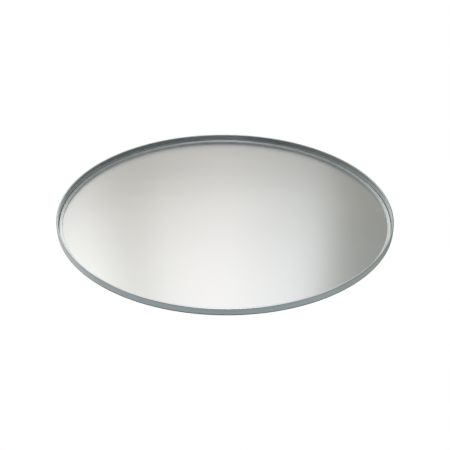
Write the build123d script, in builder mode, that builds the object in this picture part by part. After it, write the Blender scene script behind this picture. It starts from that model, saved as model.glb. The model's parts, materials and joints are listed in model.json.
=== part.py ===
from build123d import *
import os
from math import cos, pi, radians, sin, sqrt, tan

# Round stainless-steel traffic mirror on a tilting and panning post clamp, in millimetres.
# The mirror faces -Y. +Z is up, along the post. The origin is on the post's axis, half-way up the clamp.
# Head sections are drawn as (radius, depth): depth runs rearwards, +Y, from the plane of the rim's lip.

os.makedirs("parts", exist_ok=True)

# Mirror face: one pressed sheet, a shallow dome
MIRROR_R = 300.0
SHEET_T = 0.85
DOME_R = 4200.0
FACE_R = 290.0
FACE_EDGE_DEPTH = 13.4
FACE_CUT_R = 293.5
# Rim: one rolled strip, an outer wall, a rounded lip, an inner wall and a foot that lies on the face
RIM_T = 1.4
RIM_DEPTH = 10.7
LIP_R_IN = 296.5
FOOT_FILLET = 2.0
FOOT_EDGE_FILLET = 0.5
LIP_OUTER_FILLET = 1.9
LIP_INNER_FILLET = 0.8
SEAT_GAP = 0.05
# Edge seal: how far it climbs the shell and laps the rim's back edge, and how much of the foot it wraps
SEAL_RISE = 2.2
SEAL_LAP = 1.3
SEAL_LAP_INSET = 0.25
SEAL_FOOT_ANGLE = 75.0
SEAL_CLEAR = 0.03
# Backing ring, bonded behind the face
TAPE_BACK = 15.2
RING_T = 2.5
RING_R_IN = 262.0
RING_R_OUT = 287.0
# Back shell: pressed dish with a flat plateau, a ring bead and a screwed flange
SHELL_T = 1.2
SHELL_BEND_R = 1.8
SHELL_R = 289.0
SKIRT_FRONT = 14.8
FLANGE_R_IN = 256.0
PLATEAU_R = 118.0
PLATEAU_DEPTH = 43.0
BEAD_RS = (206.0, 200.0, 184.0, 178.0)
BEAD_H = 3.5
DRAIN_R = 4.0
DRAIN_PITCH_R = 236.0
DRAIN_ANGLES = (-110.0, -90.0, -70.0)
# Foam pad and load plate inside the shell
PAD_R = 45.0
PLATE_R = 85.0
PLATE_T = 4.0
# Yoke on the shell's plateau
YOKE_W = 104.0
YOKE_T = 4.0
YOKE_PITCH = 80.0
YOKE_CORNER = 12.0
EAR_T = 5.0
EAR_R = 17.0
EAR_ROOT_W = 60.0
TILT_REACH = 25.0
# Swivel block: two crossed barrels on a neck
BARREL_R = 16.0
BARREL_CHAMFER = 1.0
TILT_BARREL_L = 20.0
PAN_BARREL_L = 24.0
NECK_W = 17.0
NECK_ROUND = 3.4
KNUCKLE_PITCH = 40.0
DISC_T = 1.5
DISC_R = 14.0
BODY_GAP = 0.3
# Post clamp for a tube of 60.3 mm
POST_R = 30.15
LINER_T = 2.0
SADDLE_T = 5.0
CLAMP_H = 76.0
SPLIT_GAP = 6.0
LINER_SPLIT = 12.0
WING_X = 76.0
WING_CORNER = 9.0
CLAMP_PITCH_X = 114.0
CLAMP_PITCH_Z = 46.0
PAN_REACH = 60.0
LUG_T = 6.0
LUG_R = 16.0
LUG_ROOT_W = 46.0
LUG_ROOT_T = 2.0
RIB_T = 2.0
RIB_W = 7.0
RIB_Z = 25.0
RIB_ROOT = 1.0
# Fasteners: shank radius, width across flats, head height
M5_R, M5_HEAD_R, M5_HEAD_H = 2.5, 4.75, 3.0
M5_SOCKET_R, M5_SOCKET_DEPTH, M5_HEAD_ROUND = 1.6, 1.8, 1.8
M8_R, M8_FLATS, M8_HEAD_H, M8_NUT_H = 4.0, 13.0, 5.3, 6.5
M10_R, M10_FLATS, M10_HEAD_H, M10_NUT_H = 5.0, 16.0, 6.4, 8.0
M12_R, M12_FLATS, M12_HEAD_H, M12_NUT_H = 5.97, 18.0, 7.5, 10.0
SCREW_COUNT = 12
SCREW_PITCH_R = 276.0
SCREW_REACH = 2.2
HOLE_PLAY = 0.4
PIVOT_PLAY = 0.06
THREAD_PLAY = 0.02
M5_WASHER_R, M5_WASHER_T = 5.5, 1.0
M8_WASHER_R, M8_WASHER_T = 8.0, 1.6
M10_WASHER_R, M10_WASHER_T = 10.0, 2.0
M12_WASHER_R, M12_WASHER_T = 12.0, 2.5
SPRING_WASHER_R, SPRING_WASHER_T, SPRING_WASHER_CUT = 8.2, 2.4, 1.6
THREAD_TAIL = 3.5
BOLT_POINT = 0.8
WASHER_CHAMFER = 0.2
HEX_TURN_ANGLE = 30.0
LOCK_COLLAR_SHARE = 0.33
LOCK_COLLAR_R_SHARE = 0.46
# Picking: how near an edge lies to a plane
NEAR = 0.01

# Places worked out from the dimensions above
PAN_Y = -PAN_REACH
TILT_Y = PAN_Y - KNUCKLE_PITCH
LIP_Y = TILT_Y - TILT_REACH - YOKE_T - PLATEAU_DEPTH
SHELL_REAR_Y = LIP_Y + PLATEAU_DEPTH
YOKE_REAR_Y = SHELL_REAR_Y + YOKE_T
CROWN_DEPTH = FACE_EDGE_DEPTH - (DOME_R - sqrt(DOME_R**2 - FACE_R**2))
FLANGE_DEPTH = TAPE_BACK + RING_T + SHELL_T
RIM_LEG_R = MIRROR_R - RIM_T
PLATE_BACK = PLATEAU_DEPTH - SHELL_T
PLATE_FRONT = PLATE_BACK - PLATE_T
EAR_IN = TILT_BARREL_L / 2 + DISC_T + BODY_GAP
EAR_OUT = EAR_IN + EAR_T
LUG_IN = PAN_BARREL_L / 2 + DISC_T + BODY_GAP
LUG_OUT = LUG_IN + LUG_T
SADDLE_R_IN = POST_R + LINER_T
SADDLE_R_OUT = SADDLE_R_IN + SADDLE_T
WING_FACE = SPLIT_GAP / 2 + SADDLE_T
SLOPE = (PLATEAU_DEPTH - FLANGE_DEPTH) / (FLANGE_R_IN - PLATEAU_R)


def at(radius, depth):
    """A point of a head section, on the XY plane."""
    return (radius, LIP_Y + depth)


def dome_depth(radius, behind=0.0):
    """Depth of the dome at a radius, or of a surface parallel to it and so far behind it."""
    sphere = DOME_R - behind
    return CROWN_DEPTH + DOME_R - sqrt(sphere**2 - radius**2)


def foot_depth(radius):
    """Depth of the underside of the rim's foot, just clear of the face."""
    return dome_depth(radius) - SEAT_GAP


def dome_arc(inner_r, outer_r, behind):
    """The dome's section between two radii, or that of a surface behind it. Call it inside BuildLine."""
    radii = (inner_r, (inner_r + outer_r) / 2, outer_r)
    return ThreePointArc(*(at(r, dome_depth(r, behind)) for r in radii))


def slope_depth(radius):
    """Depth of the shell's outside on its conical part."""
    return PLATEAU_DEPTH - (radius - PLATEAU_R) * SLOPE


def save(built, name):
    built.part.label = name
    export_step(built.part, f"parts/{name}.step")


def corner_planes(pitch_x, pitch_z, y, facing):
    """Four planes at the corners of a rectangle, their normals along Y."""
    return [
        Plane(origin=(sx * pitch_x / 2, y, sz * pitch_z / 2), z_dir=(0, facing, 0))
        for sx in (-1, 1)
        for sz in (-1, 1)
    ]


def circle_planes(radius, y, facing):
    """One plane for each shell screw, evenly round the head."""
    step = 2 * pi / SCREW_COUNT
    angles = [step * (n + 0.5) for n in range(SCREW_COUNT)]
    return [
        Plane(origin=(radius * cos(a), y, radius * sin(a)), z_dir=(0, facing, 0))
        for a in angles
    ]


def hexagon_body(flats, height):
    """A hexagonal prism with its top corners turned off."""
    corner_r = flats / sqrt(3)
    drop = (corner_r - flats / 2) * tan(radians(HEX_TURN_ANGLE))
    with BuildPart() as blank:
        with BuildSketch(Plane.XY):
            RegularPolygon(flats / 2, 6, major_radius=False)
        extrude(amount=height)
        with BuildSketch(Plane.XZ):
            Polygon(
                (0, 0),
                (corner_r, 0),
                (corner_r, height - drop),
                (flats / 2, height),
                (0, height),
                align=None,
            )
        revolve(axis=Axis.Z, mode=Mode.INTERSECT)
    return blank.part


def hex_bolt(shank_r, flats, head_h, length):
    """A bolt whose head stands on its plane and whose shank runs back through it."""
    with BuildPart() as bolt:
        add(hexagon_body(flats, head_h))
        with BuildSketch(Plane.XY):
            Circle(shank_r)
        extrude(amount=-length)
        chamfer(bolt.edges().sort_by(Axis.Z)[0], BOLT_POINT)
    return bolt.part


def hex_nut(shank_r, flats, height):
    with BuildPart() as nut:
        add(hexagon_body(flats, height))
        with BuildSketch(Plane.XY):
            Circle(shank_r + THREAD_PLAY)
        extrude(amount=height, mode=Mode.SUBTRACT)
    return nut.part


def lock_nut(shank_r, flats, height):
    """A hexagonal nut that ends in a round collar."""
    collar_h = height * LOCK_COLLAR_SHARE
    with BuildPart() as nut:
        add(hexagon_body(flats, height - collar_h))
        with BuildSketch(Plane.XY.offset(height - collar_h)):
            Circle(flats * LOCK_COLLAR_R_SHARE)
        extrude(amount=collar_h)
        fillet(nut.edges().filter_by(GeomType.CIRCLE).sort_by(Axis.Z)[-1], collar_h / 2)
        with BuildSketch(Plane.XY):
            Circle(shank_r + THREAD_PLAY)
        extrude(amount=height, mode=Mode.SUBTRACT)
    return nut.part


def washer(shank_r, outer_r, thickness):
    with BuildPart() as disc:
        with BuildSketch(Plane.XY):
            Circle(outer_r)
            Circle(shank_r + HOLE_PLAY / 2, mode=Mode.SUBTRACT)
        extrude(amount=thickness)
        top_circles = disc.edges().filter_by(GeomType.CIRCLE).group_by(Axis.Z)[-1]
        chamfer(top_circles.sort_by(SortBy.RADIUS)[-1], WASHER_CHAMFER)
    return disc.part


def spring_washer():
    """A split lock washer, pressed flat, with its cut on one side."""
    with BuildPart() as ring:
        with BuildSketch(Plane.XY):
            Circle(SPRING_WASHER_R)
            Circle(M10_R + HOLE_PLAY / 2, mode=Mode.SUBTRACT)
            with Locations((SPRING_WASHER_R / 2, 0)):
                Rectangle(SPRING_WASHER_R, SPRING_WASHER_CUT, mode=Mode.SUBTRACT)
        extrude(amount=SPRING_WASHER_T)
    return ring.part


def pan_screw(length):
    """A round-headed screw with a hexagon socket."""
    with BuildPart() as screw:
        with BuildSketch(Plane.XY):
            Circle(M5_HEAD_R)
        extrude(amount=M5_HEAD_H)
        fillet(screw.edges().filter_by(GeomType.CIRCLE).sort_by(Axis.Z)[-1], M5_HEAD_ROUND)
        with BuildSketch(Plane.XY.offset(M5_HEAD_H)):
            RegularPolygon(M5_SOCKET_R, 6)
        extrude(amount=-M5_SOCKET_DEPTH, mode=Mode.SUBTRACT)
        with BuildSketch(Plane.XY):
            Circle(M5_R)
        extrude(amount=-length)
    return screw.part


def group(shape, planes, name):
    """Copies of one fastener, one at each plane, in one node."""
    with BuildPart() as copies:
        with Locations(*planes):
            add(shape)
    save(copies, name)


# Head: face, rim and edge seal


def make_mirror_face():
    with BuildPart() as mirror_face:
        with BuildSketch(Plane.XY):
            with BuildLine():
                front = dome_arc(0, FACE_CUT_R, 0.0)
                back = dome_arc(0, FACE_CUT_R, SHEET_T)
                Line(front @ 0, back @ 0)
                Line(front @ 1, back @ 1)
            make_face()
        revolve(axis=Axis.Y)
    save(mirror_face, "mirror_face")


def make_rim_ring():
    """A hem: outer wall, rounded lip, inner wall, and a curved foot that follows the dome."""
    inner_wall_back = LIP_R_IN + RIM_T
    with BuildPart() as rim_ring:
        with BuildSketch(Plane.XY) as section:
            with BuildLine():
                Polyline(
                    at(MIRROR_R, RIM_DEPTH),
                    at(MIRROR_R, 0),
                    at(LIP_R_IN, 0),
                    at(LIP_R_IN, foot_depth(LIP_R_IN) - RIM_T),
                    at(FACE_R, foot_depth(FACE_R) - RIM_T),
                    at(FACE_R, foot_depth(FACE_R)),
                    at(inner_wall_back, foot_depth(inner_wall_back)),
                    at(inner_wall_back, RIM_T),
                    at(RIM_LEG_R, RIM_T),
                    at(RIM_LEG_R, RIM_DEPTH),
                    close=True,
                )
            make_face()
            for point, radius in (
                (at(MIRROR_R, 0), LIP_OUTER_FILLET),
                (at(LIP_R_IN, 0), LIP_INNER_FILLET),
                (at(LIP_R_IN, foot_depth(LIP_R_IN) - RIM_T), FOOT_FILLET),
                (at(inner_wall_back, foot_depth(inner_wall_back)), FOOT_FILLET + RIM_T),
                (at(FACE_R, foot_depth(FACE_R) - RIM_T), FOOT_EDGE_FILLET),
            ):
                fillet(section.vertices().sort_by_distance((*point, 0))[0], radius)
        revolve(axis=Axis.Y)
    save(rim_ring, "rim_ring")


def make_edge_seal():
    """The sealant that fills the angle between rim, face and shell and laps the rim's back edge."""
    arc_r = LIP_R_IN - FOOT_FILLET
    arc_depth = foot_depth(arc_r) - RIM_T - FOOT_FILLET
    with BuildPart() as edge_seal:
        with BuildSketch(Plane.XY):
            with BuildLine():
                around_foot = CenterArc(
                    at(arc_r, arc_depth), FOOT_FILLET + RIM_T + SEAL_CLEAR, 0, SEAL_FOOT_ANGLE
                )
                on_face = dome_arc(SHELL_R, FACE_CUT_R, SHEET_T)
                Polyline(
                    around_foot @ 1, at(FACE_CUT_R, dome_depth(FACE_CUT_R, SHEET_T / 2)), on_face @ 1
                )
                Polyline(
                    on_face @ 0,
                    at(SHELL_R, SKIRT_FRONT + SEAL_RISE),
                    at(MIRROR_R - 2 * SEAL_LAP_INSET, RIM_DEPTH + SEAL_LAP),
                    at(MIRROR_R - SEAL_LAP_INSET, RIM_DEPTH),
                    at(RIM_LEG_R, RIM_DEPTH),
                    at(RIM_LEG_R, arc_depth),
                    around_foot @ 0,
                )
            make_face()
        revolve(axis=Axis.Y)
    save(edge_seal, "edge_seal")


# Head: what backs the face


def make_face_tape():
    """A foam tape ring: domed in front, flat behind."""
    with BuildPart() as face_tape:
        with BuildSketch(Plane.XY):
            with BuildLine():
                front = dome_arc(RING_R_IN, RING_R_OUT, SHEET_T)
                Polyline(front @ 1, at(RING_R_OUT, TAPE_BACK), at(RING_R_IN, TAPE_BACK), front @ 0)
            make_face()
        revolve(axis=Axis.Y)
    save(face_tape, "face_tape")


def make_backing_ring():
    with BuildPart() as backing_ring:
        with BuildSketch(Plane.XZ.offset(-(LIP_Y + TAPE_BACK))):
            Circle(RING_R_OUT)
            Circle(RING_R_IN, mode=Mode.SUBTRACT)
        extrude(amount=-RING_T)
        with Locations(*circle_planes(SCREW_PITCH_R, LIP_Y + TAPE_BACK, 1)):
            Hole(M5_R + THREAD_PLAY)
    save(backing_ring, "backing_ring")


def make_foam_pad():
    """A damping pad between the face's centre and the load plate."""
    with BuildPart() as foam_pad:
        with BuildSketch(Plane.XY):
            with BuildLine():
                front = dome_arc(0, PAD_R, SHEET_T)
                Polyline(front @ 1, at(PAD_R, PLATE_FRONT), at(0, PLATE_FRONT), front @ 0)
            make_face()
        revolve(axis=Axis.Y)
    save(foam_pad, "foam_pad")


def make_back_shell():
    bead = [
        at(BEAD_RS[0], slope_depth(BEAD_RS[0])),
        at(BEAD_RS[1], slope_depth(BEAD_RS[1]) + BEAD_H),
        at(BEAD_RS[2], slope_depth(BEAD_RS[2]) + BEAD_H),
        at(BEAD_RS[3], slope_depth(BEAD_RS[3])),
    ]
    with BuildPart() as back_shell:
        with BuildSketch(Plane.XY):
            with BuildLine():
                FilletPolyline(
                    at(SHELL_R, SKIRT_FRONT),
                    at(SHELL_R, FLANGE_DEPTH),
                    at(FLANGE_R_IN, FLANGE_DEPTH),
                    *bead,
                    at(PLATEAU_R, PLATEAU_DEPTH),
                    at(0, PLATEAU_DEPTH),
                    radius=SHELL_BEND_R,
                )
                offset(amount=SHELL_T, side=Side.LEFT)
            make_face()
        revolve(axis=Axis.Y)
        with Locations(*circle_planes(SCREW_PITCH_R, LIP_Y + FLANGE_DEPTH, 1)):
            Hole(M5_R + HOLE_PLAY, depth=SHELL_T * 2)
        with Locations(*corner_planes(YOKE_PITCH, YOKE_PITCH, SHELL_REAR_Y, 1)):
            Hole(M8_R + HOLE_PLAY, depth=SHELL_T * 2)
        drain_planes = [
            Plane(
                origin=(
                    DRAIN_PITCH_R * cos(radians(a)),
                    LIP_Y + PLATEAU_DEPTH,
                    DRAIN_PITCH_R * sin(radians(a)),
                ),
                z_dir=(0, 1, 0),
            )
            for a in DRAIN_ANGLES
        ]
        with Locations(*drain_planes):
            Hole(DRAIN_R, depth=PLATEAU_DEPTH - TAPE_BACK)
    save(back_shell, "back_shell")


def make_load_plate():
    with BuildPart() as load_plate:
        with BuildSketch(Plane.XZ.offset(-(LIP_Y + PLATE_FRONT))):
            Circle(PLATE_R)
        extrude(amount=-PLATE_T)
        with Locations(*corner_planes(YOKE_PITCH, YOKE_PITCH, LIP_Y + PLATE_BACK, 1)):
            Hole(M8_R + HOLE_PLAY)
    save(load_plate, "load_plate")


# Yoke and swivel


def make_yoke_bracket():
    """A bolted base plate with two rounded ears for the tilt bolt."""
    with BuildPart() as yoke_bracket:
        with BuildSketch(Plane.XZ.offset(-SHELL_REAR_Y)):
            RectangleRounded(YOKE_W, YOKE_W, YOKE_CORNER)
        extrude(amount=-YOKE_T)
        for side in (-1, 1):
            with BuildSketch(Plane.YZ.offset(side * EAR_IN)) as ear:
                with Locations((YOKE_REAR_Y - YOKE_T / 2, 0)):
                    Rectangle(YOKE_T, EAR_ROOT_W)
                with Locations((TILT_Y, 0)):
                    Circle(EAR_R)
                make_hull()
            extrude(amount=side * EAR_T)
        uprights = yoke_bracket.edges().filter_by(Axis.Z)
        at_plate = [edge for edge in uprights if abs(edge.center().Y - YOKE_REAR_Y) < NEAR]
        outer_roots = [edge for edge in at_plate if abs(abs(edge.center().X) - EAR_OUT) < NEAR]
        fillet(outer_roots, YOKE_T)
        with Locations(*corner_planes(YOKE_PITCH, YOKE_PITCH, YOKE_REAR_Y, 1)):
            Hole(M8_R + HOLE_PLAY, depth=YOKE_T * 2)
        with Locations(Plane(origin=(0, TILT_Y, 0), z_dir=(1, 0, 0))):
            Hole(M12_R + PIVOT_PLAY / 2)
    save(yoke_bracket, "yoke_bracket")


def make_swivel_block():
    """A cast knuckle: the tilt barrel lies along X, the pan barrel stands along Z."""
    with BuildPart() as swivel_block:
        with BuildSketch(Plane.YZ.offset(-TILT_BARREL_L / 2)):
            with Locations((TILT_Y, 0)):
                Circle(BARREL_R)
        extrude(amount=TILT_BARREL_L)
        with BuildSketch(Plane.XY.offset(-PAN_BARREL_L / 2)):
            with Locations((0, PAN_Y)):
                Circle(BARREL_R)
        extrude(amount=PAN_BARREL_L)
        with BuildSketch(Plane.XZ.offset(-TILT_Y)):
            RectangleRounded(NECK_W, NECK_W, NECK_ROUND)
        extrude(amount=TILT_Y - PAN_Y)
        with Locations(Plane(origin=(0, TILT_Y, 0), z_dir=(1, 0, 0))):
            Hole(M12_R + PIVOT_PLAY)
        with Locations(Plane(origin=(0, PAN_Y, 0))):
            Hole(M12_R + PIVOT_PLAY)
        rims = swivel_block.edges().filter_by(GeomType.CIRCLE)
        chamfer([edge for edge in rims if edge.is_closed and edge.radius > DISC_R], BARREL_CHAMFER)
    save(swivel_block, "swivel_block")


def make_friction_discs(axis_dir, centre, half_span, name):
    """A fibre disc on each end of a barrel."""
    with BuildPart() as discs:
        for side in (-1, 1):
            origin = tuple(c + side * half_span * d for c, d in zip(centre, axis_dir))
            face = Plane(origin=origin, z_dir=tuple(side * d for d in axis_dir))
            with BuildSketch(face):
                Circle(DISC_R)
                Circle(M12_R + PIVOT_PLAY, mode=Mode.SUBTRACT)
            extrude(amount=DISC_T)
    save(discs, name)


# Post clamp


def saddle_sketch(side):
    """A half ring round the post with a flat wing each way; side is -1 in front, 1 behind."""
    with BuildSketch(Plane.XY) as outline:
        Circle(SADDLE_R_OUT)
        with Locations((0, side * (SPLIT_GAP + SADDLE_T) / 2)):
            Rectangle(2 * WING_X, SADDLE_T)
        Circle(SADDLE_R_IN, mode=Mode.SUBTRACT)
        with Locations((0, side * (SPLIT_GAP / 2 - WING_X))):
            Rectangle(2 * WING_X, 2 * WING_X, mode=Mode.SUBTRACT)
    return outline.sketch


def make_clamp_half(side, name):
    with BuildPart() as half:
        with BuildSketch(Plane.XY.offset(-CLAMP_H / 2)):
            add(saddle_sketch(side))
        extrude(amount=CLAMP_H)
        tips = half.edges().filter_by(Axis.Y)
        fillet([edge for edge in tips if abs(edge.center().X) > CLAMP_PITCH_X / 2], WING_CORNER)
        if side < 0:
            for lug_z in (LUG_IN, -LUG_OUT):
                with BuildSketch(Plane.XY.offset(lug_z)):
                    with Locations((0, PAN_Y)):
                        Circle(LUG_R)
                    with Locations((0, -SADDLE_R_IN)):
                        Rectangle(LUG_ROOT_W, LUG_ROOT_T)
                    make_hull()
                    Circle(SADDLE_R_IN, mode=Mode.SUBTRACT)
                extrude(amount=LUG_T)
            with Locations(Plane(origin=(0, PAN_Y, 0))):
                Hole(M12_R + PIVOT_PLAY / 2)
        else:
            for rib_z in (-RIB_Z, RIB_Z):
                with BuildSketch(Plane.XY.offset(rib_z - RIB_W / 2)):
                    Circle(SADDLE_R_OUT + RIB_T)
                    Circle(SADDLE_R_OUT - RIB_ROOT, mode=Mode.SUBTRACT)
                    with Locations((0, WING_FACE - WING_X)):
                        Rectangle(2 * WING_X, 2 * WING_X, mode=Mode.SUBTRACT)
                extrude(amount=RIB_W)
        with Locations(*corner_planes(CLAMP_PITCH_X, CLAMP_PITCH_Z, side * WING_FACE, side)):
            Hole(M10_R + HOLE_PLAY, depth=2 * SADDLE_T)
    save(half, name)


def make_liner(side, name):
    """A moulded rubber strip between a saddle and the post."""
    with BuildPart() as liner:
        with BuildSketch(Plane.XY.offset(-CLAMP_H / 2)):
            Circle(SADDLE_R_IN)
            Circle(POST_R, mode=Mode.SUBTRACT)
            with Locations((0, side * (LINER_SPLIT / 2 - WING_X))):
                Rectangle(2 * WING_X, 2 * WING_X, mode=Mode.SUBTRACT)
        extrude(amount=CLAMP_H)
    save(liner, name)


# Fasteners


def make_shell_fasteners():
    shell_back = LIP_Y + FLANGE_DEPTH
    washer_planes = circle_planes(SCREW_PITCH_R, shell_back, 1)
    group(washer(M5_R, M5_WASHER_R, M5_WASHER_T), washer_planes, "shell_washers")
    screw_planes = circle_planes(SCREW_PITCH_R, shell_back + M5_WASHER_T, 1)
    group(pan_screw(M5_WASHER_T + SHELL_T + SCREW_REACH), screw_planes, "shell_screws")


def make_yoke_fasteners():
    grip = PLATE_T + SHELL_T + YOKE_T + M8_WASHER_T + M8_NUT_H + THREAD_TAIL
    head_planes = corner_planes(YOKE_PITCH, YOKE_PITCH, LIP_Y + PLATE_FRONT, -1)
    group(hex_bolt(M8_R, M8_FLATS, M8_HEAD_H, grip), head_planes, "yoke_bolts")
    washer_planes = corner_planes(YOKE_PITCH, YOKE_PITCH, YOKE_REAR_Y, 1)
    group(washer(M8_R, M8_WASHER_R, M8_WASHER_T), washer_planes, "yoke_washers")
    nut_planes = corner_planes(YOKE_PITCH, YOKE_PITCH, YOKE_REAR_Y + M8_WASHER_T, 1)
    group(lock_nut(M8_R, M8_FLATS, M8_NUT_H), nut_planes, "yoke_nuts")


def make_pivot_fasteners(centre, axis_dir, half_grip, prefix):
    """The bolt, two washers and lock nut of one knuckle; the head is on the axis's positive end."""

    def seat(side, extra):
        origin = tuple(c + side * (half_grip + extra) * d for c, d in zip(centre, axis_dir))
        return Plane(origin=origin, z_dir=tuple(side * d for d in axis_dir))

    length = 2 * (half_grip + M12_WASHER_T) + M12_NUT_H + THREAD_TAIL
    group(hex_bolt(M12_R, M12_FLATS, M12_HEAD_H, length), [seat(1, M12_WASHER_T)], f"{prefix}_bolt")
    group(washer(M12_R, M12_WASHER_R, M12_WASHER_T), [seat(1, 0), seat(-1, 0)], f"{prefix}_washers")
    group(lock_nut(M12_R, M12_FLATS, M12_NUT_H), [seat(-1, M12_WASHER_T)], f"{prefix}_nut")


def make_clamp_fasteners():
    def corners(y, facing):
        return corner_planes(CLAMP_PITCH_X, CLAMP_PITCH_Z, y, facing)

    nut_seat = WING_FACE + M10_WASHER_T + SPRING_WASHER_T
    length = WING_FACE + M10_WASHER_T + nut_seat + M10_NUT_H + THREAD_TAIL
    bolt = hex_bolt(M10_R, M10_FLATS, M10_HEAD_H, length)
    group(bolt, corners(-WING_FACE - M10_WASHER_T, -1), "clamp_bolts")
    washer_planes = corners(-WING_FACE, -1) + corners(WING_FACE, 1)
    group(washer(M10_R, M10_WASHER_R, M10_WASHER_T), washer_planes, "clamp_washers")
    group(spring_washer(), corners(WING_FACE + M10_WASHER_T, 1), "clamp_spring_washers")
    group(hex_nut(M10_R, M10_FLATS, M10_NUT_H), corners(nut_seat, 1), "clamp_nuts")


make_mirror_face()
make_rim_ring()
make_edge_seal()
make_face_tape()
make_backing_ring()
make_foam_pad()
make_back_shell()
make_load_plate()
make_yoke_bracket()
make_swivel_block()
make_friction_discs((1, 0, 0), (0, TILT_Y, 0), TILT_BARREL_L / 2, "tilt_friction_discs")
make_friction_discs((0, 0, 1), (0, PAN_Y, 0), PAN_BARREL_L / 2, "pan_friction_discs")
make_clamp_half(-1, "clamp_front")
make_clamp_half(1, "clamp_rear")
make_liner(-1, "liner_front")
make_liner(1, "liner_rear")
make_shell_fasteners()
make_yoke_fasteners()
make_pivot_fasteners((0, TILT_Y, 0), (1, 0, 0), EAR_OUT, "tilt")
make_pivot_fasteners((0, PAN_Y, 0), (0, 0, 1), LUG_OUT, "pan")
make_clamp_fasteners()
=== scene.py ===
"""A round stainless-steel traffic mirror on its post clamp, in a plain pale studio."""

import json
from math import cos, pi, radians, sin, sqrt, tan

import bpy
from mathutils import Matrix, Vector


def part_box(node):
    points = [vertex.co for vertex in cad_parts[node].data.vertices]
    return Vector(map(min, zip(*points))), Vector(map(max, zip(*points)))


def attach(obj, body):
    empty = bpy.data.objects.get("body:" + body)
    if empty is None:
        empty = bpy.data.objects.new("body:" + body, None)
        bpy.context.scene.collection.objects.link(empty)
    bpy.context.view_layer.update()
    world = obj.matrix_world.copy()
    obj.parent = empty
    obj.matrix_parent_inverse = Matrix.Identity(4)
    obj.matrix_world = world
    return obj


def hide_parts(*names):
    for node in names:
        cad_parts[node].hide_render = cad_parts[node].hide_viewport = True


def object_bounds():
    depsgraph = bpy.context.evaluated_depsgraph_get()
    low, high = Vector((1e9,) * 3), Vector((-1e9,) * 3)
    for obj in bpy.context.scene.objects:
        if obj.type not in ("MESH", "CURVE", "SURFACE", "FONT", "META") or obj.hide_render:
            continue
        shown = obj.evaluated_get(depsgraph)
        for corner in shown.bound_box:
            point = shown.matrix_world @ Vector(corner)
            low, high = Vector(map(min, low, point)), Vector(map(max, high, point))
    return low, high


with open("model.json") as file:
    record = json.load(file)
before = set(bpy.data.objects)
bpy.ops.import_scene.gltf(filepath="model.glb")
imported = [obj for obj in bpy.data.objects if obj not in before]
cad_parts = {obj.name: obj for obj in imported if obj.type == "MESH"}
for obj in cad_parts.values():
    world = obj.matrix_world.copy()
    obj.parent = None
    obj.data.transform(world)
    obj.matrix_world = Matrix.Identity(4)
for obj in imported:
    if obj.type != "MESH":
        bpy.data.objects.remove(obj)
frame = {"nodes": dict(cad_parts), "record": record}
cad_low, cad_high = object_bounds()
nodes = frame["nodes"]
MM = 0.001


# Small helpers


def linear(hex_colour):
    """An sRGB hex colour as linear RGBA."""
    channels = [int(hex_colour[i : i + 2], 16) / 255 for i in (1, 3, 5)]
    return [c / 12.92 if c <= 0.04045 else ((c + 0.055) / 1.055) ** 2.4 for c in channels] + [1.0]


def node(tree, kind, inputs, take=0, stops=(), **settings):
    """Adds one node with its settings, links and colour stops, and gives the output asked for.

    An input is a hex colour, a value, or an output to link.
    """
    made = tree.nodes.new("ShaderNode" + kind)
    for name, value in settings.items():
        setattr(made, name, value)
    for name, value in inputs.items():
        if isinstance(value, bpy.types.NodeSocket):
            tree.links.new(value, made.inputs[name])
        else:
            is_colour = isinstance(value, str) and value.startswith("#")
            made.inputs[name].default_value = linear(value) if is_colour else value
    for n, (position, colour) in enumerate(stops):
        band = made.color_ramp.elements
        stop = band[n] if n < len(band) else band.new(position)
        stop.position = position
        stop.color = linear(colour)
    return made.outputs[take] if made.outputs else made


# Camera

lip_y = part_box("rim_ring")[0].y
rim_r = min(cad_high.x, cad_high.z, -cad_low.x, -cad_low.z)
# It stands five mirror radii from the middle of the lip, low in front of the mirror, and aims a little
# below that middle; angles are in degrees
VIEW_DISTANCE = 5 * rim_r
VIEW_ABOVE_FACE = 30.65
AIM_BELOW_MIDDLE = 1.25
ROLL = 0.411
LENS_MM, SENSOR_MM = 66.6, 36


def look_from(place, pitch_up, lens, roll):
    """A camera at a place, facing +Y and tipped up by an angle in degrees."""
    bpy.ops.object.camera_add(location=place)
    camera = bpy.context.object
    a = radians(pitch_up)
    forward = Vector((0, cos(a), sin(a)))
    right = Vector((1, 0, 0))
    up = right.cross(forward)
    turned_right = right * cos(radians(roll)) + up * sin(radians(roll))
    turned_up = up * cos(radians(roll)) - right * sin(radians(roll))
    axes = Matrix((turned_right, turned_up, -forward)).transposed()
    camera.matrix_world = Matrix.Translation(place) @ axes.to_4x4()
    camera.data.lens = lens
    camera.data.sensor_width = SENSOR_MM
    bpy.context.scene.camera = camera


below = -VIEW_DISTANCE * cos(radians(VIEW_ABOVE_FACE))
in_front = lip_y - VIEW_DISTANCE * sin(radians(VIEW_ABOVE_FACE))
aim = 90 - VIEW_ABOVE_FACE - AIM_BELOW_MIDDLE
look_from(Vector((0, in_front, below)), pitch_up=aim, lens=LENS_MM, roll=ROLL)
bpy.context.scene.view_settings.view_transform = "Standard"


# Studio. A direction is named by how far out of the face plane it points (0 in the plane, 1 straight
# out) and by its turn round the mirror's axis (0.5 straight up, 0 and 1 straight down).

STUDIO_STRENGTH = 1.60
EVEN_STRENGTH = 0.9
# a lamp in front and a little below, with the cosines from its middle where its glow starts and is full
LAMP_STRENGTH = 4.2
LAMP_TOWARDS = (0.0, -0.94, -0.34)
GLOW_FROM, GLOW_TO = 0.94, 0.985
WALL_GAIN = 1.25
# the wall that the face shows, low where it nears the face plane and high where it is further out: how
# pale it is from low to high
WALL_LOW, WALL_HIGH = 0.36, 0.66
WALL_PALENESS = [(0.0, "#94918a"), (0.2, "#c4c2bd"), (0.47, "#e1e0dc"), (0.7, "#f4f4f3"), (1.0, "#ffffff")]
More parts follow.
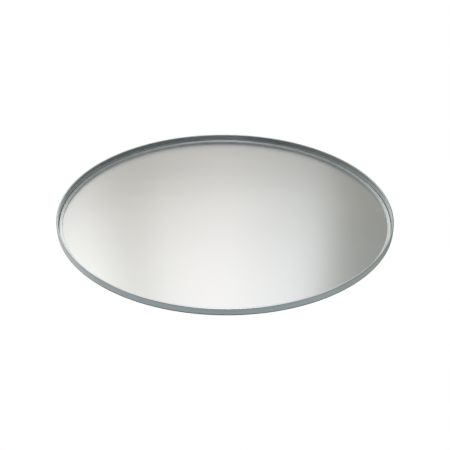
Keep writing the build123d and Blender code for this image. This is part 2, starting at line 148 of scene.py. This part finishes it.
# and what stands across it from left to right, a window, a soft seam beside it and a grey-green screen:
# first low on the wall, then high on it
WALL_LEFT, WALL_RIGHT = 0.44, 0.56
SCREENS_LOW = [
    (0.04, "#ffffff"), (0.2, "#dadad6"), (0.32, "#d6d5d1"), (0.5, "#ecebea"),
    (0.62, "#dfe0de"), (0.75, "#cecfcc"), (0.82, "#b6b8b1"), (0.9, "#b2b4ad"),
]
SCREENS_HIGH = [
    (0.1, "#ffffff"), (0.18, "#d4d4d1"), (0.23, "#c6c5c2"), (0.32, "#e9e9e7"), (0.5, "#edecec"),
    (0.65, "#e0e2e3"), (0.76, "#e3e7e9"), (0.82, "#9d9f9b"), (0.9, "#7b7e7d"),
]
# how far out the low screens give way to the high ones
SCREENS_FROM, SCREENS_TO = 0.46, 0.57
# how far from straight up, in turns, the wall gives way to what is round it
BESIDE_FROM, BESIDE_TO = 0.055, 0.09
# how far out the surroundings turn pale, then all that is straight ahead; and where behind begins
OUTWARD_FROM, OUTWARD_TO, OUTWARD_TONE = 0.66, 0.88, "#d8d8d6"
AHEAD_FROM, AHEAD_TO, AHEAD_TONE = 0.82, 0.94, "#dededc"
BEHIND_FROM, BEHIND_TO = 0.36, 0.10
# all round in front, and all round behind
ROUND_FRONT = [
    (0.0, "#26282d"), (0.09, "#38393c"), (0.17, "#6b6d6b"), (0.25, "#7c7d79"), (0.42, "#a8a7a4"),
    (0.58, "#7c7e79"), (0.75, "#676865"), (0.85, "#5c5e5f"), (1.0, "#26282d"),
]
ROUND_BEHIND = [
    (0.0, "#8f9696"), (0.17, "#989d9e"), (0.25, "#a0a1a0"), (0.34, "#b3b3b1"), (0.42, "#a6a6a4"),
    (0.5, "#6a6b6b"), (0.58, "#646462"), (0.67, "#939490"), (0.83, "#989c9b"), (1.0, "#8f9696"),
]


def make_world():
    """A soft white studio, drawn by direction so that it reaches every reflection in the steel."""
    world = bpy.data.worlds.new("studio")
    bpy.context.scene.world = world
    world.use_nodes = True
    tree = world.node_tree
    tree.nodes.clear()

    towards = node(tree, "TexCoord", {}, take="Generated")
    x, y, z = node(tree, "SeparateXYZ", {0: towards}).node.outputs
    out = node(tree, "Math", {0: y, 1: -1.0}, operation="MULTIPLY")
    angle = node(tree, "Math", {0: x, 1: z}, operation="ARCTAN2")
    turn = node(tree, "Math", {0: angle, 1: 1 / (2 * pi), 2: 0.5}, operation="MULTIPLY_ADD")

    height = node(tree, "MapRange", {"Value": out, "From Min": WALL_LOW, "From Max": WALL_HIGH})
    pale = node(tree, "ValToRGB", {0: height}, stops=WALL_PALENESS)
    across = node(tree, "MapRange", {"Value": turn, "From Min": WALL_LEFT, "From Max": WALL_RIGHT})
    low = node(tree, "ValToRGB", {0: across}, stops=SCREENS_LOW)
    high = node(tree, "ValToRGB", {0: across}, stops=SCREENS_HIGH)
    upper = node(tree, "MapRange", {"Value": out, "From Min": SCREENS_FROM, "From Max": SCREENS_TO},
                 interpolation_type="SMOOTHSTEP")
    screens = node(tree, "Mix", {0: upper, 6: low, 7: high}, take=2, data_type="RGBA")
    wall = node(tree, "Mix", {0: 1.0, 6: pale, 7: screens}, take=2, data_type="RGBA", blend_type="MULTIPLY")
    wall = node(tree, "VectorMath", {0: wall, "Scale": WALL_GAIN}, operation="SCALE")

    around = node(tree, "ValToRGB", {0: turn}, stops=ROUND_FRONT)
    outward = node(tree, "MapRange", {"Value": out, "From Min": OUTWARD_FROM, "From Max": OUTWARD_TO},
                   interpolation_type="SMOOTHSTEP")
    around = node(tree, "Mix", {0: outward, 6: around, 7: OUTWARD_TONE}, take=2, data_type="RGBA")
    off_top = node(tree, "Math", {0: turn, 1: 0.5}, operation="SUBTRACT")
    off_top = node(tree, "Math", {0: off_top}, operation="ABSOLUTE")
    beside = node(tree, "MapRange", {"Value": off_top, "From Min": BESIDE_FROM, "From Max": BESIDE_TO},
                  interpolation_type="SMOOTHSTEP")
    front = node(tree, "Mix", {0: beside, 6: wall, 7: around}, take=2, data_type="RGBA")
    ahead = node(tree, "MapRange", {"Value": out, "From Min": AHEAD_FROM, "From Max": AHEAD_TO},
                 interpolation_type="SMOOTHSTEP")
    front = node(tree, "Mix", {0: ahead, 6: front, 7: AHEAD_TONE}, take=2, data_type="RGBA")
    behind = node(tree, "ValToRGB", {0: turn}, stops=ROUND_BEHIND)
    backward = node(tree, "MapRange", {"Value": out, "From Min": BEHIND_FROM, "From Max": BEHIND_TO},
                    interpolation_type="SMOOTHSTEP")
    studio = node(tree, "Mix", {0: backward, 6: front, 7: behind}, take=2, data_type="RGBA")

    # the drawn studio is for reflections; everything else has even light, and the camera sees white
    at_lamp = node(tree, "VectorMath", {0: towards, 1: LAMP_TOWARDS}, take="Value", operation="DOT_PRODUCT")
    lamp = node(tree, "MapRange", {"Value": at_lamp, "From Min": GLOW_FROM, "From Max": GLOW_TO,
                "To Min": STUDIO_STRENGTH, "To Max": LAMP_STRENGTH}, interpolation_type="SMOOTHSTEP")
    reflected = node(tree, "Background", {"Color": studio, "Strength": lamp})
    even = node(tree, "Background", {"Color": "#ffffff", "Strength": EVEN_STRENGTH})
    white = node(tree, "Background", {"Color": "#ffffff", "Strength": 1.0})
    glossy = node(tree, "LightPath", {}, take="Is Glossy Ray")
    seen = node(tree, "MixShader", {0: glossy, 1: even, 2: reflected})
    straight = node(tree, "LightPath", {}, take="Is Camera Ray")
    chosen = node(tree, "MixShader", {0: straight, 1: seen, 2: white})
    node(tree, "OutputWorld", {"Surface": chosen})


make_world()

FLOOR_Z = -2.2
FLOOR_SIZE = 90
bpy.ops.mesh.primitive_plane_add(size=FLOOR_SIZE, location=(0, 0, FLOOR_Z))
floor = bpy.context.object
floor.name = "floor"
floor.visible_glossy = False

# One soft light almost straight behind, for the bracket's relief; nothing in front shows it
SOFTBOX_PLACE = (0.6, 3.0, 1.0)
SOFTBOX_WATTS, SOFTBOX_SIZE = 40, 1.4
bpy.ops.object.light_add(type="AREA", location=SOFTBOX_PLACE)
softbox = bpy.context.object
softbox.name = "softbox_behind"
softbox.data.energy = SOFTBOX_WATTS
softbox.data.size = SOFTBOX_SIZE
softbox.rotation_euler = (-softbox.location).to_track_quat("-Z", "Y").to_euler()
softbox.visible_camera = False


# Materials. Noise is about even from 0.35 to 0.65, and seldom goes past 0.25 or 0.75. A scale is in
# cells a metre.


def material(name):
    """A new material and its empty tree."""
    made = bpy.data.materials.new(name)
    made.use_nodes = True
    made.node_tree.nodes.clear()
    return made, made.node_tree


def satin_mirror_steel():
    """Polished stainless sheet with a fine level grain, which draws reflections out up and down, and
    faint wiping marks a hand's width apart that dull it in places."""
    made, tree = material("satin_polished_stainless_sheet")
    place = node(tree, "TexCoord", {}, take="Object")
    # the real grain is under 0.1 mm; this one is 0.4 mm so that it shows
    along_grain = node(tree, "Mapping", {"Vector": place, "Scale": (12, 12, 2600)})
    grain = node(tree, "TexNoise", {"Vector": along_grain, "Scale": 1.0, "Detail": 5.0})
    across_sheet = node(tree, "Mapping", {"Vector": place, "Scale": (3, 3, 9)})
    wipes = node(tree, "TexNoise", {"Vector": across_sheet, "Scale": 1.0, "Detail": 3.0})
    tone = node(tree, "ValToRGB", {0: wipes}, stops=[(0.35, "#cfcfcf"), (0.65, "#d3d3d2")])
    scratched = node(tree, "MapRange", {"Value": grain, "From Min": 0.3, "From Max": 0.8, "To Max": 0.5})
    tone = node(tree, "Mix", {0: scratched, 6: tone, 7: "#cbcbca"}, take=2, data_type="RGBA")
    polish = node(tree, "MapRange", {"Value": grain, "From Min": 0.3, "From Max": 0.7, "To Min": 0.215,
                  "To Max": 0.235})
    smeared = node(tree, "MapRange", {"Value": wipes, "From Min": 0.4, "From Max": 0.7, "To Max": 0.02})
    polish = node(tree, "Math", {0: polish, 1: smeared}, operation="ADD")
    relief = node(tree, "Bump", {"Height": grain, "Strength": 0.02, "Distance": 0.01 * MM})
    upright = node(tree, "CombineXYZ", {2: 1.0})
    across_grain = node(tree, "VectorTransform", {0: upright}, vector_type="VECTOR", convert_from="OBJECT",
                        convert_to="WORLD")
    shader = node(tree, "BsdfPrincipled", {"Base Color": tone, "Roughness": polish, "Metallic": 1.0,
                  "Anisotropic": 0.9, "Tangent": across_grain, "Normal": relief})
    node(tree, "OutputMaterial", {"Surface": shader})
    return made


# how far behind the lip the rolling tool has dulled the strip, where it turns onto the face; there its
# colour is also whitened, a painted highlight along the foot's rounding
FOOT_DULL_AND_PAINTED_HIGHLIGHT_BAND = (10.4 * MM, 11.4 * MM)


def ring_brushed_steel():
    """Stainless strip brushed along its length: thin streaks that run round the rim, a few darker rubs,
    and a foot that the rolling tool has dulled, whitened in colour as a painted highlight."""
    made, tree = material("ring_brushed_stainless_strip")
    place = node(tree, "TexCoord", {}, take="Object")
    x, y, z = node(tree, "SeparateXYZ", {0: place}).node.outputs
    flat = node(tree, "CombineXYZ", {0: x, 2: z})
    radius = node(tree, "VectorMath", {0: flat}, take="Value", operation="LENGTH")
    across_strip = node(tree, "Math", {0: radius, 1: y}, operation="ADD")
    streak_place = node(tree, "CombineXYZ", {0: x, 1: across_strip, 2: z})
    streak_place = node(tree, "Mapping", {"Vector": streak_place, "Scale": (6, 1400, 6)})
    streaks = node(tree, "TexNoise", {"Vector": streak_place, "Scale": 1.0, "Detail": 4.0})
    rubs = node(tree, "TexNoise", {"Vector": place, "Scale": 9.0, "Detail": 3.0})
    # the band at the foot, where the strip is dulled and its colour whitened as a painted highlight
    foot = node(tree, "MapRange", {"Value": y, "From Min": lip_y + FOOT_DULL_AND_PAINTED_HIGHLIGHT_BAND[0],
                "From Max": lip_y + FOOT_DULL_AND_PAINTED_HIGHLIGHT_BAND[1]}, interpolation_type="SMOOTHSTEP")
    tone = node(tree, "ValToRGB", {0: streaks}, stops=[(0.35, "#bfc6c9"), (0.65, "#cdd3d5")])
    # whitening the foot is a painted highlight, standing in for the light its rounding catches
    tone = node(tree, "Mix", {0: foot, 6: tone, 7: "#e4e8ea"}, take=2, data_type="RGBA")
    rubbed = node(tree, "MapRange", {"Value": rubs, "From Min": 0.55, "From Max": 0.75, "To Max": 0.35})
    tone = node(tree, "Mix", {0: rubbed, 6: tone, 7: "#a9b0b4"}, take=2, data_type="RGBA")
    polish = node(tree, "MapRange", {"Value": streaks, "From Min": 0.3, "From Max": 0.7, "To Min": 0.17,
                  "To Max": 0.27})
    polish = node(tree, "Math", {0: foot, 1: 0.2, 2: polish}, operation="MULTIPLY_ADD")
    relief = node(tree, "Bump", {"Height": streaks, "Strength": 0.1, "Distance": 0.04 * MM})
    shader = node(tree, "BsdfPrincipled", {"Base Color": tone, "Roughness": polish, "Metallic": 1.0,
                  "Normal": relief})
    node(tree, "OutputMaterial", {"Surface": shader})
    return made


def hot_dip_galvanised():
    """Hot-dipped steel: flat zinc crystals about 6 mm wide that catch the light differently, a dull white
    bloom over some of them, and soft waves where the zinc ran."""
    made, tree = material("hot_dip_galvanised_steel")
    place = node(tree, "TexCoord", {}, take="Object")
    crystals = node(tree, "TexVoronoi", {"Vector": place, "Scale": 170.0}, take="Color")
    shade = node(tree, "SeparateColor", {0: crystals})
    runs = node(tree, "TexNoise", {"Vector": place, "Scale": 60.0, "Detail": 3.0})
    bloom = node(tree, "TexNoise", {"Vector": place, "Scale": 22.0, "Detail": 5.0})
    tone = node(tree, "ValToRGB", {0: shade}, stops=[(0.0, "#888e91"), (1.0, "#b9bec0")])
    bloomed = node(tree, "MapRange", {"Value": bloom, "From Min": 0.52, "From Max": 0.72, "To Max": 0.7})
    tone = node(tree, "Mix", {0: bloomed, 6: tone, 7: "#c6c8c6"}, take=2, data_type="RGBA")
    dull = node(tree, "MapRange", {"Value": shade, "To Min": 0.34, "To Max": 0.50})
    dull = node(tree, "Math", {0: bloomed, 1: 0.3, 2: dull}, operation="MULTIPLY_ADD")
    bare = node(tree, "MapRange", {"Value": bloom, "From Min": 0.5, "From Max": 0.75, "To Min": 0.92,
                "To Max": 0.6})
    relief = node(tree, "Bump", {"Height": runs, "Strength": 0.35, "Distance": 0.3 * MM})
    shader = node(tree, "BsdfPrincipled", {"Base Color": tone, "Roughness": dull, "Metallic": bare,
                  "Normal": relief})
    node(tree, "OutputMaterial", {"Surface": shader})
    return made


def galvanised_casting():
    """Dipped ductile iron: the sand mould's 1 mm grain under the zinc, darker in its hollows."""
    made, tree = material("galvanised_ductile_casting")
    place = node(tree, "TexCoord", {}, take="Object")
    sand = node(tree, "TexNoise", {"Vector": place, "Scale": 900.0, "Detail": 3.0})
    lumps = node(tree, "TexNoise", {"Vector": place, "Scale": 160.0, "Detail": 3.0})
    grain = node(tree, "Math", {0: sand, 1: 0.5, 2: lumps}, operation="MULTIPLY_ADD")
    tone = node(tree, "ValToRGB", {0: grain}, stops=[(0.5, "#767b7e"), (1.0, "#a4a8aa")])
    dull = node(tree, "MapRange", {"Value": sand, "From Min": 0.3, "From Max": 0.7, "To Min": 0.48,
                "To Max": 0.66})
    relief = node(tree, "Bump", {"Height": grain, "Strength": 0.5, "Distance": 0.4 * MM})
    shader = node(tree, "BsdfPrincipled", {"Base Color": tone, "Roughness": dull, "Metallic": 0.85,
                  "Normal": relief})
    node(tree, "OutputMaterial", {"Surface": shader})
    return made


def grey_powder_coat():
    """Grey powder baked on pressed steel: 2 mm orange peel, a little dust held in it, a dull sheen."""
    made, tree = material("grey_powder_coated_steel")
    place = node(tree, "TexCoord", {}, take="Object")
    peel = node(tree, "TexNoise", {"Vector": place, "Scale": 420.0, "Detail": 2.0})
    dust = node(tree, "TexNoise", {"Vector": place, "Scale": 14.0, "Detail": 6.0, "Roughness": 0.6})
    tone = node(tree, "ValToRGB", {0: peel}, stops=[(0.35, "#a2a7aa"), (0.65, "#a9aeb1")])
    dusty = node(tree, "MapRange", {"Value": dust, "From Min": 0.48, "From Max": 0.75, "To Max": 0.45})
    tone = node(tree, "Mix", {0: dusty, 6: tone, 7: "#b4b3ad"}, take=2, data_type="RGBA")
    dull = node(tree, "MapRange", {"Value": dust, "From Min": 0.4, "From Max": 0.7, "To Min": 0.38,
                "To Max": 0.56})
    relief = node(tree, "Bump", {"Height": peel, "Strength": 0.25, "Distance": 0.3 * MM})
    shader = node(tree, "BsdfPrincipled", {"Base Color": tone, "Roughness": dull, "Normal": relief})
    node(tree, "OutputMaterial", {"Surface": shader})
    return made


def bright_zinc():
    """Zinc electroplate on fasteners: bright, a cold blue cast with a trace of straw, spanner marks."""
    made, tree = material("bright_zinc_plated_steel")
    place = node(tree, "TexCoord", {}, take="Object")
    tint = node(tree, "TexNoise", {"Vector": place, "Scale": 120.0, "Detail": 2.0})
    marks = node(tree, "TexNoise", {"Vector": place, "Scale": 1500.0, "Detail": 4.0})
    tone = node(tree, "ValToRGB", {0: tint}, stops=[(0.35, "#b4bcc4"), (0.65, "#c6c4b6")])
    marked = node(tree, "MapRange", {"Value": marks, "From Min": 0.5, "From Max": 0.8, "To Max": 0.4})
    tone = node(tree, "Mix", {0: marked, 6: tone, 7: "#8c9298"}, take=2, data_type="RGBA")
    polish = node(tree, "MapRange", {"Value": marks, "From Min": 0.3, "From Max": 0.7, "To Min": 0.22,
                  "To Max": 0.40})
    relief = node(tree, "Bump", {"Height": marks, "Strength": 0.15, "Distance": 0.08 * MM})
    shader = node(tree, "BsdfPrincipled", {"Base Color": tone, "Roughness": polish, "Metallic": 1.0,
                  "Normal": relief})
    node(tree, "OutputMaterial", {"Surface": shader})
    return made


def moulded_rubber():
    """Moulded EPDM rubber: near black, a matt skin with a grey bloom."""
    made, tree = material("moulded_epdm_rubber")
    place = node(tree, "TexCoord", {}, take="Object")
    skin = node(tree, "TexNoise", {"Vector": place, "Scale": 1400.0, "Detail": 3.0})
    bloom = node(tree, "TexNoise", {"Vector": place, "Scale": 50.0, "Detail": 4.0})
    tone = node(tree, "ValToRGB", {0: bloom}, stops=[(0.4, "#1d1e1f"), (0.7, "#2e2f30")])
    matt = node(tree, "MapRange", {"Value": bloom, "From Min": 0.3, "From Max": 0.7, "To Min": 0.62,
                "To Max": 0.82})
    relief = node(tree, "Bump", {"Height": skin, "Strength": 0.25, "Distance": 0.1 * MM})
    shader = node(tree, "BsdfPrincipled", {"Base Color": tone, "Roughness": matt, "Normal": relief})
    node(tree, "OutputMaterial", {"Surface": shader})
    return made


def gunned_sealant():
    """Gunned polyurethane: black, a smooth skin with 15 mm tooling waves and pale grit caught in it."""
    made, tree = material("gunned_black_sealant")
    place = node(tree, "TexCoord", {}, take="Object")
    waves = node(tree, "TexNoise", {"Vector": place, "Scale": 70.0, "Detail": 3.0})
    grit = node(tree, "TexNoise", {"Vector": place, "Scale": 1800.0, "Detail": 2.0})
    tone = node(tree, "ValToRGB", {0: grit}, stops=[(0.6, "#1a1c1e"), (0.8, "#4a4946")])
    sheen = node(tree, "MapRange", {"Value": waves, "From Min": 0.3, "From Max": 0.7, "To Min": 0.34,
                 "To Max": 0.58})
    relief = node(tree, "Bump", {"Height": waves, "Strength": 0.5, "Distance": 0.5 * MM})
    shader = node(tree, "BsdfPrincipled", {"Base Color": tone, "Roughness": sheen, "Normal": relief})
    node(tree, "OutputMaterial", {"Surface": shader})
    return made


def closed_cell_foam(name, dark, pale, cells_per_metre):
    """Closed-cell foam: small round cells, cut through at the edges, so it looks pitted and matt."""
    made, tree = material(name)
    place = node(tree, "TexCoord", {}, take="Object")
    cells = node(tree, "TexVoronoi", {"Vector": place, "Scale": cells_per_metre}, take="Distance")
    tone = node(tree, "ValToRGB", {0: cells}, stops=[(0.1, dark), (0.6, pale)])
    matt = node(tree, "MapRange", {"Value": cells, "From Max": 0.6, "To Min": 0.78, "To Max": 0.95})
    relief = node(tree, "Bump", {"Height": cells, "Strength": 0.6, "Distance": 0.3 * MM})
    shader = node(tree, "BsdfPrincipled", {"Base Color": tone, "Roughness": matt, "Normal": relief})
    node(tree, "OutputMaterial", {"Surface": shader})
    return made


def vulcanised_fibre():
    """Pressed fibre discs: red-brown, with short flecks and a waxy surface."""
    made, tree = material("vulcanised_fibre")
    place = node(tree, "TexCoord", {}, take="Object")
    laid = node(tree, "Mapping", {"Vector": place, "Scale": (900, 250, 250)})
    flecks = node(tree, "TexNoise", {"Vector": laid, "Scale": 1.0, "Detail": 4.0})
    tone = node(tree, "ValToRGB", {0: flecks}, stops=[(0.35, "#5a2f1c"), (0.7, "#8a5236")])
    waxy = node(tree, "MapRange", {"Value": flecks, "From Min": 0.3, "From Max": 0.7, "To Min": 0.45,
                "To Max": 0.62})
    relief = node(tree, "Bump", {"Height": flecks, "Strength": 0.2, "Distance": 0.1 * MM})
    shader = node(tree, "BsdfPrincipled", {"Base Color": tone, "Roughness": waxy, "Normal": relief})
    node(tree, "OutputMaterial", {"Surface": shader})
    return made


def studio_paper():
    """Matt white background paper with a faint tooth."""
    made, tree = material("white_studio_paper")
    place = node(tree, "TexCoord", {}, take="Object")
    tooth = node(tree, "TexNoise", {"Vector": place, "Scale": 700.0, "Detail": 3.0})
    tone = node(tree, "ValToRGB", {0: tooth}, stops=[(0.3, "#f2f2f1"), (0.7, "#f8f8f7")])
    shader = node(tree, "BsdfPrincipled", {"Base Color": tone, "Roughness": 0.9})
    node(tree, "OutputMaterial", {"Surface": shader})
    return made


MATERIALS = {
    "mirror_steel": satin_mirror_steel(),
    "rim_steel": ring_brushed_steel(),
    "black_sealant": gunned_sealant(),
    "foam_tape": closed_cell_foam("closed_cell_foam_tape", "#141414", "#2a2a2a", 900.0),
    "grey_foam": closed_cell_foam("closed_cell_foam_pad", "#4a4b4d", "#6c6d70", 600.0),
    "galvanised_steel": hot_dip_galvanised(),
    "galvanised_casting": galvanised_casting(),
    "grey_powder_coat": grey_powder_coat(),
    "fibre": vulcanised_fibre(),
    "black_rubber": moulded_rubber(),
    "zinc_fastener": bright_zinc(),
}
floor.data.materials.append(studio_paper())
for subpart in frame["record"]["subparts"]:
    for slot in nodes[subpart["node"]].material_slots:
        slot.material = MATERIALS[subpart["material_slot"]]


# Turned pieces

TURN_STEPS = 192
ARC_STEPS = 6
MERGE_WITHIN = 0.002 * MM
# sharper edges than this, in degrees, stay crisp
CRISP_OVER = 35


def turned(name, outline, steps=TURN_STEPS, poles=False):
    """Turns an outline of (radius, y) points about the Y axis, one ring after another.

    With poles, the outline starts and ends close to the axis and is capped there; without, it is a loop.
    """
    bpy.ops.object.select_all(action="DESELECT")
    radius, depth = outline[0]
    bpy.ops.mesh.primitive_circle_add(
        vertices=steps, radius=radius, location=(0, depth, 0), rotation=(pi / 2, 0, 0)
    )
    piece = bpy.context.object
    piece.name = name
    bpy.ops.object.transform_apply(location=True, rotation=True, scale=True)
    bpy.ops.object.mode_set(mode="EDIT")
    bpy.ops.mesh.select_all(action="SELECT")
    for next_radius, next_depth in outline[1:] + ([] if poles else outline[:1]):
        bpy.ops.mesh.extrude_region_move(TRANSFORM_OT_translate={"value": (0, next_depth - depth, 0)})
        grow = next_radius / radius
        bpy.ops.transform.resize(value=(grow, 1, grow), center_override=(0, next_depth, 0))
        radius, depth = next_radius, next_depth
    bpy.ops.mesh.select_all(action="SELECT")
    bpy.ops.mesh.remove_doubles(threshold=MERGE_WITHIN)
    if poles:
        bpy.ops.mesh.select_all(action="DESELECT")
        bpy.ops.mesh.select_mode(type="EDGE")
        bpy.ops.mesh.select_non_manifold()
        bpy.ops.mesh.edge_face_add()
        bpy.ops.mesh.select_mode(type="VERT")
        bpy.ops.mesh.select_all(action="SELECT")
    bpy.ops.mesh.normals_make_consistent(inside=False)
    bpy.ops.object.mode_set(mode="OBJECT")
    return piece


def rounded(corners, steps=ARC_STEPS):
    """A closed outline through (radius, y, rounding) corners, each rounded by an arc."""
    outline = []
    for i, (radius, depth, rounding) in enumerate(corners):
        here = Vector((radius, depth))
        before = (Vector(corners[i - 1][:2]) - here).normalized()
        after = (Vector(corners[(i + 1) % len(corners)][:2]) - here).normalized()
        if rounding == 0:
            outline.append(tuple(here))
            continue
        half = before.angle(after) / 2
        centre = here + (before + after).normalized() * rounding / sin(half)
        start = (here + before * rounding / tan(half) - centre).normalized()
        end = (here + after * rounding / tan(half) - centre).normalized()
        outline += [tuple(centre + start.slerp(end, n / steps) * rounding) for n in range(steps + 1)]
    return outline


def finish(piece, body, slot, smooth=CRISP_OVER):
    """Smooths a piece, gives it its material and lets it ride on its body."""
    bpy.ops.object.select_all(action="DESELECT")
    piece.select_set(True)
    bpy.context.view_layer.objects.active = piece
    bpy.ops.object.shade_smooth_by_angle(angle=radians(smooth))
    piece.data.materials.clear()
    piece.data.materials.append(MATERIALS[slot])
    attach(piece, body)


# Mirror face: a dome sheet, drawn from its own box
face_low, face_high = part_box("mirror_face")
DOME_R = 4200 * MM
SHEET_T = 0.85 * MM
face_r = face_high.x
crown_y = face_low.y


def dome_y(radius, behind=0.0):
    """The y of the dome's face at a radius, or of the sheet at a depth behind its face."""
    return crown_y + DOME_R - sqrt((DOME_R - behind) ** 2 - radius**2)


FACE_RINGS = 48
POLE_R = 0.4 * MM
front_radii = [POLE_R + (face_r - POLE_R) * n / FACE_RINGS for n in range(FACE_RINGS + 1)]
front = [(r, dome_y(r)) for r in front_radii]
back = [(r, dome_y(r, SHEET_T)) for r in reversed(front_radii)]
dome = turned("dome_sheet", front + back, poles=True)
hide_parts("mirror_face")
finish(dome, "head", "mirror_steel")

# Rim: outer wall, rounded lip, inner wall and a foot that curves onto the dome
RIM_T = 1.4 * MM
LIP_R = 296.5 * MM
FOOT_R = 290.0 * MM
RIM_DEPTH = 10.7 * MM
SEAT_GAP = 0.05 * MM
LIP_OUTER_ROUND = 1.9 * MM
LIP_INNER_ROUND = 0.8 * MM
FOOT_ROUND = 2.0 * MM
FOOT_EDGE_ROUND = 0.5 * MM
BACK_EDGE_ROUND = 0.25 * MM
RIM_ARC_STEPS = 8
inner_back = LIP_R + RIM_T


def foot_y(radius):
    """The y of the foot's underside, just in front of the dome."""
    return dome_y(radius) - SEAT_GAP


rim_outline = rounded(
    [
        (rim_r, lip_y + RIM_DEPTH, BACK_EDGE_ROUND),
        (rim_r, lip_y, LIP_OUTER_ROUND),
        (LIP_R, lip_y, LIP_INNER_ROUND),
        (LIP_R, foot_y(LIP_R) - RIM_T, FOOT_ROUND),
        (FOOT_R, foot_y(FOOT_R) - RIM_T, FOOT_EDGE_ROUND),
        (FOOT_R, foot_y(FOOT_R), 0.0),
        (inner_back, foot_y(inner_back), FOOT_ROUND + RIM_T),
        (inner_back, lip_y + RIM_T, 0.0),
        (rim_r - RIM_T, lip_y + RIM_T, 0.0),
        (rim_r - RIM_T, lip_y + RIM_DEPTH, BACK_EDGE_ROUND),
    ],
    steps=RIM_ARC_STEPS,
)
rim = turned("rolled_rim", rim_outline)
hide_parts("rim_ring")
finish(rim, "head", "rim_steel")

# Sealant bead: it fills the space behind the rim, stands a little out behind its back edge and slopes in
# to the shell
shell_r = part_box("back_shell")[1].x
seal_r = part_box("edge_seal")[1].x
seal_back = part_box("edge_seal")[1].y
# how far it laps up inside the rim, and how far it stands out behind it
SEAL_LAP = 1.3 * MM
SEAL_ROUND = 0.6 * MM
seal_outline = rounded(
    [
        (shell_r, dome_y(shell_r, SHEET_T), 0.0),
        (face_r, dome_y(face_r, SHEET_T), 0.0),
        (face_r, dome_y(face_r, SHEET_T / 2), 0.0),
        (inner_back, lip_y + RIM_DEPTH - SEAL_LAP, 0.0),
        (rim_r - RIM_T, lip_y + RIM_DEPTH - SEAL_LAP, 0.0),
        (rim_r - RIM_T, lip_y + RIM_DEPTH, 0.0),
        (rim_r, lip_y + RIM_DEPTH, 0.0),
        (seal_r, lip_y + RIM_DEPTH + SEAL_LAP, SEAL_ROUND),
        (shell_r, seal_back, 0.0),
    ]
)
seal = turned("sealant_bead", seal_outline)
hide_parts("edge_seal")
finish(seal, "head", "black_sealant")

# Weld beads along the outer foot of the yoke's ears, laid in short ripples and dipped with the yoke
M12_WASHER_T = 2.5 * MM
WELD_LENGTH = 56 * MM
WELD_R = 2.7 * MM
RIPPLES = 24
RIPPLE_DEPTH = 0.35 * MM
WELD_STEPS = 20
WELD_CRISP_OVER = 60
# each end closes over a shoulder and then a tip, this far past the last ripple
SHOULDER_R, SHOULDER_PAST = 0.7 * WELD_R, 0.8 * MM
TIP_R, TIP_PAST = 0.2 * MM, 1.2 * MM
# how each ripple swells and falls, as (part of its length, part of its depth) steps
RIPPLE = [(0.0, 0.0), (0.2, 0.75), (0.45, 1.0), (0.75, 0.6)]
ripple_length = WELD_LENGTH / RIPPLES
start = -WELD_LENGTH / 2
ripples = [
    (WELD_R - RIPPLE_DEPTH * (1 - swell), start + (n + part) * ripple_length)
    for n in range(RIPPLES)
    for part, swell in RIPPLE
]
weld_outline = [(TIP_R, start - TIP_PAST), (SHOULDER_R, start - SHOULDER_PAST)] + ripples
weld_outline += [(SHOULDER_R, SHOULDER_PAST - start), (TIP_R, TIP_PAST - start)]
# its middle stands a little out of the corner between ear and plate
WELD_OUT = 1.2 * MM
weld_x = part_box("tilt_washers")[1].x - M12_WASHER_T + WELD_OUT
weld_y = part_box("yoke_washers")[0].y + WELD_OUT
weld = turned("weld_bead_right", weld_outline, steps=WELD_STEPS, poles=True)
weld.rotation_euler = (pi / 2, 0, 0)
weld.location = (weld_x, weld_y, 0)
bpy.ops.object.transform_apply(location=True, rotation=True, scale=True)
bpy.ops.object.duplicate()
other_weld = bpy.context.object
other_weld.name = "weld_bead_left"
other_weld.location.x = -2 * weld_x
bpy.ops.object.transform_apply(location=True, rotation=True, scale=True)
finish(weld, "head", "galvanised_steel", smooth=WELD_CRISP_OVER)
finish(other_weld, "head", "galvanised_steel", smooth=WELD_CRISP_OVER)
